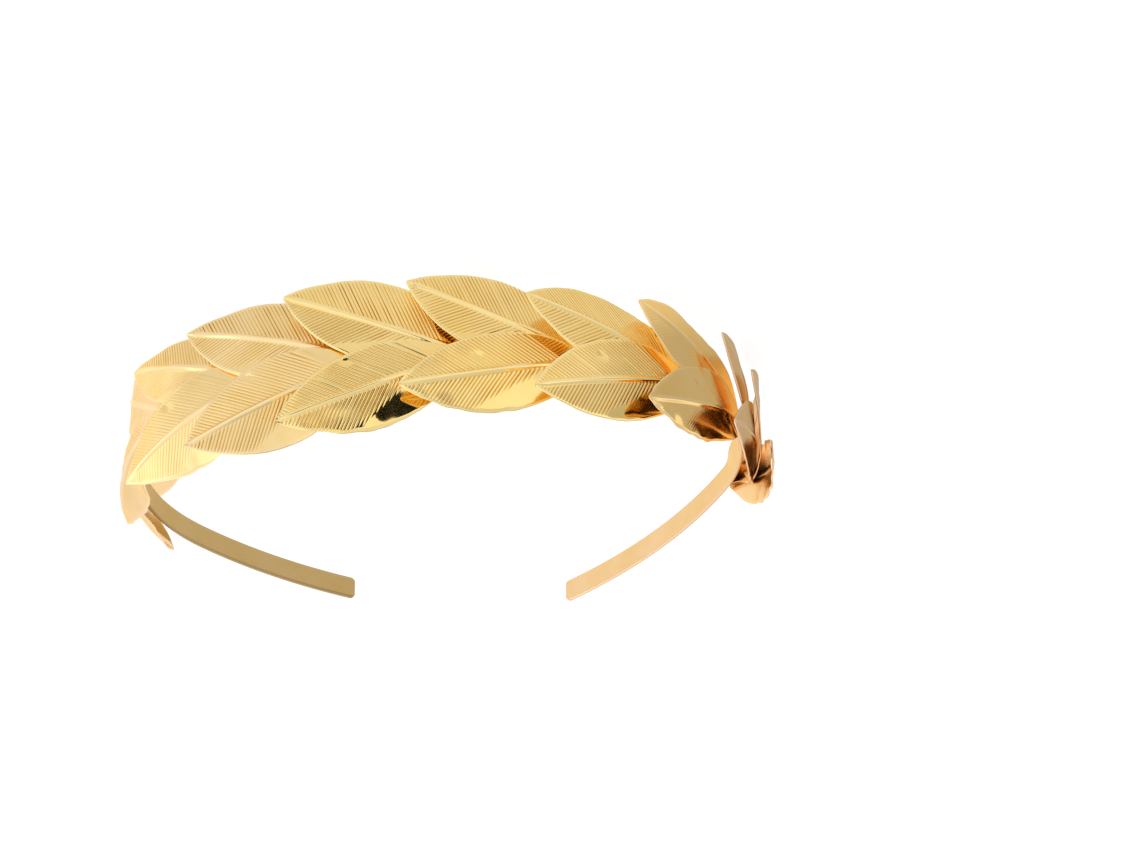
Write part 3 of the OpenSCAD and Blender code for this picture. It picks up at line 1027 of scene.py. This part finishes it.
class CROWN_OT_make_band(bpy.types.Operator):
    """Bend the strip of the open hairband"""

    bl_idname = "crown.make_band"
    bl_label = "Make Band"

    def execute(self, context):
        colours = sizes("crown_finish")
        piece = build_band(Wreath(), "bent_band")
        # The second tone darkens the strip's right arm as painted shade
        finish = gold_finish("strip_band_gold", colours.band_gold, BAND_POLISH, colours.shade_painted_gold)
        dress(piece, finish, "band")
        return {"FINISHED"}


class CROWN_OT_make_lower_leaves(bpy.types.Operator):
    """Stamp the ten leaves that point down and along the band"""

    bl_idname = "crown.make_lower_leaves"
    bl_label = "Make Lower Leaves"

    def execute(self, context):
        make_leaves(-1, "lower")
        return {"FINISHED"}


class CROWN_OT_make_upper_leaves(bpy.types.Operator):
    """Stamp the ten leaves that point up and along the band"""

    bl_idname = "crown.make_upper_leaves"
    bl_label = "Make Upper Leaves"

    def execute(self, context):
        make_leaves(1, "upper")
        return {"FINISHED"}


# The photograph's frame, and where the middle of the band's ring falls in it, in pixels
PHOTO_SIZE = Vector((1140, 855))
RING_MIDDLE = Vector((450, 460))
PIXELS_PER_METRE = 4050
SENSOR_WIDTH = 36
NEAREST = 0.01
FARTHEST = 20
# The ring's middle before the crown is stood up
RING_CENTRE = Vector((6.4, 51.2, 0)) * MM

FLOOR_REACH = (4, 4)
FLOOR_BELOW = 0.1 * MM
FLOOR_SIDES = 64
CARD_SIDES = 48
# The lights: where they hang and the two sides of each, in metres
LIGHT_TARGET = Vector((0, 0, 0.02))
TOP_LIGHT = (Vector((0.1, 0.35, 0.9)), (0.9, 0.9))
SIDE_LIGHT = (Vector((0.75, -0.15, 0.3)), (0.5, 0.5))
# The room by the direction in which it is seen: where the walls turn to ceiling, where the ceiling gets
# brighter and where the walls do, and the walls' two shades
WALL_TOP = (0.8, 0.97)
CEILING_TURN = (-0.05, 0.35)
WALL_TURN = (-0.8, 0.6)
WALL_SHADES = (0.85, 1.2)
# The cards that the polished metal mirrors, just over the floor: where they lie, how far they reach to each
# side, how bright they are and how wide their soft rim is
Card = namedtuple("Card", "middle reach tone soft")
CARDS = {
    "dark_card": Card(Vector((45, -240, -0.02)) * MM, Vector((45, 115)) * MM, 0.01, 0.1),
    "grey_card": Card(Vector((-170, -45, -0.04)) * MM, Vector((124, 100)) * MM, 0.57, 0.2),
    "bright_card": Card(Vector((18, -10, -0.06)) * MM, Vector((58, 44)) * MM, 1.7, 0.5),
    "pale_card": Card(Vector((35, -80, -0.08)) * MM, Vector((170, 62)) * MM, 0.88, 0.25),
}


def soft_light(name, hung, watts):
    """A soft rectangular light that the metal mirrors and the camera doesn't see."""
    at, sides = hung
    lamp = bpy.data.lights.new(name, "AREA")
    lamp.shape = "RECTANGLE"
    lamp.size, lamp.size_y = sides
    lamp.energy = watts
    light = new_object(name, lamp)
    light.visible_camera = light.visible_diffuse = False
    light.location = at
    light.rotation_euler = (LIGHT_TARGET - at).to_track_quat("-Z", "Y").to_euler()


def set_camera(wreath):
    """The photograph's view: the crown's own lower side is up here, so the camera is rolled over."""
    studio = sizes("crown_studio")
    tilt = studio.elevation
    towards = wreath.turned @ Vector((0, math.cos(tilt), -math.sin(tilt)))
    top = wreath.turned @ Vector((0, -math.sin(tilt), -math.cos(tilt)))
    side = towards.cross(top)
    centre = wreath.placed(RING_CENTRE)
    focal = PIXELS_PER_METRE * studio.distance
    off = PHOTO_SIZE / 2 - RING_MIDDLE
    aim = (towards * focal + side * off.x - top * off.y).normalized()
    side = aim.cross(top).normalized()
    top = side.cross(aim)
    data = bpy.data.cameras.new("camera")
    data.sensor_width = SENSOR_WIDTH
    data.lens = SENSOR_WIDTH * focal / PHOTO_SIZE.x
    data.clip_start, data.clip_end = NEAREST, FARTHEST
    camera = new_object("camera", data)
    turned = Matrix((side, top, -aim)).transposed().to_4x4()
    camera.matrix_world = Matrix.Translation(centre - towards * studio.distance) @ turned
    bpy.context.scene.camera = camera


def floor_finish():
    """White paper on a light table."""
    material, n = new_material("pale_floor")
    studio = sizes("crown_studio")
    paper = n.add(
        "ShaderNodeBsdfPrincipled", Roughness=0.8, Base_Color=opaque(studio.floor),
        Emission_Color=(1, 1, 1, 1), Emission_Strength=studio.glow,
    )
    n.show(paper.outputs["BSDF"])
    return material


def card_finish(name, card):
    """An even tone that fades out towards the card's rim."""
    material, n = new_material(name)
    where = n.add("ShaderNodeTexCoord").outputs["Object"]
    vectors = {"kind": "ShaderNodeVectorMath", "result": "Vector"}
    per_reach = [1 / reach for reach in card.reach]
    centred = n.maths("SUBTRACT", where, card.middle, **vectors)
    stretched = n.maths("MULTIPLY", centred, (*per_reach, 0), **vectors)
    from_middle = n.maths("LENGTH", stretched, kind="ShaderNodeVectorMath")
    even = n.add("ShaderNodeEmission", Strength=card.tone)
    clear = n.add("ShaderNodeBsdfTransparent")
    faded = n.add("ShaderNodeMixShader", Fac=n.ease(from_middle, (1 - card.soft, 1), 1, 0))
    first, second = faded.inputs[1:]
    n.link(clear.outputs["BSDF"], first)
    n.link(even.outputs["Emission"], second)
    n.show(faded.outputs["Shader"])
    return material


def stage_disc(name, sides, reach, middle, finish):
    """A flat round or oval sheet that is stage."""
    bm = bmesh.new()
    bmesh.ops.create_circle(bm, cap_ends=True, segments=sides, radius=1)
    bmesh.ops.scale(bm, verts=bm.verts[:], vec=(*reach, 1))
    bmesh.ops.translate(bm, verts=bm.verts[:], vec=middle)
    piece = new_piece(name, bm)
    piece.data.materials.append(finish)
    return piece


def lay_card(name, card):
    """A card that only the polished metal mirrors: the camera doesn't see it and it casts no shadow."""
    piece = stage_disc(name, CARD_SIDES, card.reach, card.middle, card_finish(f"{name}_tone", card))
    piece.visible_camera = piece.visible_shadow = piece.visible_diffuse = False


def studio_room():
    """White walls, brighter on one side, under a dim ceiling."""
    studio = sizes("crown_studio")
    world = bpy.data.worlds.new("studio_room")
    world.use_nodes = True
    n = NodeSheet(world.node_tree)
    where = n.add("ShaderNodeTexCoord")
    parts = n.add("ShaderNodeSeparateXYZ", Vector=where.outputs["Generated"])
    sideways, upwards = parts.outputs["X"], parts.outputs["Z"]
    ceiling = n.ease(sideways, CEILING_TURN, studio.ceiling, studio.bright_ceiling)
    height = n.ease(upwards, WALL_TOP, studio.walls, ceiling)
    background = world.node_tree.nodes["Background"]
    background.inputs["Color"].default_value = (1, 1, 1, 1)
    strength = n.maths("MULTIPLY", height, n.ease(sideways, WALL_TURN, *WALL_SHADES))
    n.link(strength, background.inputs["Strength"])
    return world


class CROWN_OT_set_stage(bpy.types.Operator):
    """Set the pale floor, the soft lights and the camera"""

    bl_idname = "crown.set_stage"
    bl_label = "Set Stage"

    def execute(self, context):
        studio = sizes("crown_studio")
        below = Vector((0, 0, CAD_BOX[0].z - FLOOR_BELOW))
        stage_disc("studio_floor", FLOOR_SIDES, FLOOR_REACH, below, floor_finish())
        soft_light("top_light", TOP_LIGHT, studio.top)
        soft_light("side_light", SIDE_LIGHT, studio.side)
        for name, card in CARDS.items():
            lay_card(name, card)
        context.scene.world = studio_room()
        context.scene.view_settings.view_transform = "Standard"
        set_camera(Wreath())
        return {"FINISHED"}


class CROWN_PT_panel(bpy.types.Panel):
    """Sizes and steps of the laurel wreath crown"""

    bl_label = "Laurel Wreath Crown"
    bl_idname = "CROWN_PT_panel"
    bl_space_type = "VIEW_3D"
    bl_region_type = "UI"
    bl_category = "Crown"

    def draw(self, context):
        for group in GROUPS:
            box = self.layout.box()
            owner = getattr(context.scene, group)
            for name in owner.bl_rna.properties.keys():
                if name not in ("rna_type", "name"):
                    box.prop(owner, name)
        for operator in OPERATORS:
            self.layout.operator(operator.bl_idname)


OPERATORS = (
    CROWN_OT_make_band,
    CROWN_OT_make_lower_leaves,
    CROWN_OT_make_upper_leaves,
    CROWN_OT_set_stage,
)
GROUPS = {
    "crown_band": CrownBandSizes,
    "crown_leaf": CrownLeafSizes,
    "crown_finish": CrownFinishes,
    "crown_studio": CrownStudio,
}
CLASSES = (*GROUPS.values(), *OPERATORS, CROWN_PT_panel)


def register():
    """Adds the classes and the property groups."""
    for made in CLASSES:
        bpy.utils.register_class(made)
    for name, group in GROUPS.items():
        setattr(bpy.types.Scene, name, PointerProperty(type=group))


def unregister():
    """Takes them away again."""
    for name in GROUPS:
        delattr(bpy.types.Scene, name)
    for made in reversed(CLASSES):
        bpy.utils.unregister_class(made)


def main():
    """Makes the crown and its stage."""
    register()
    bpy.ops.crown.make_band()
    bpy.ops.crown.make_lower_leaves()
    bpy.ops.crown.make_upper_leaves()
    bpy.ops.crown.set_stage()


if __name__ == "__main__":
    main()
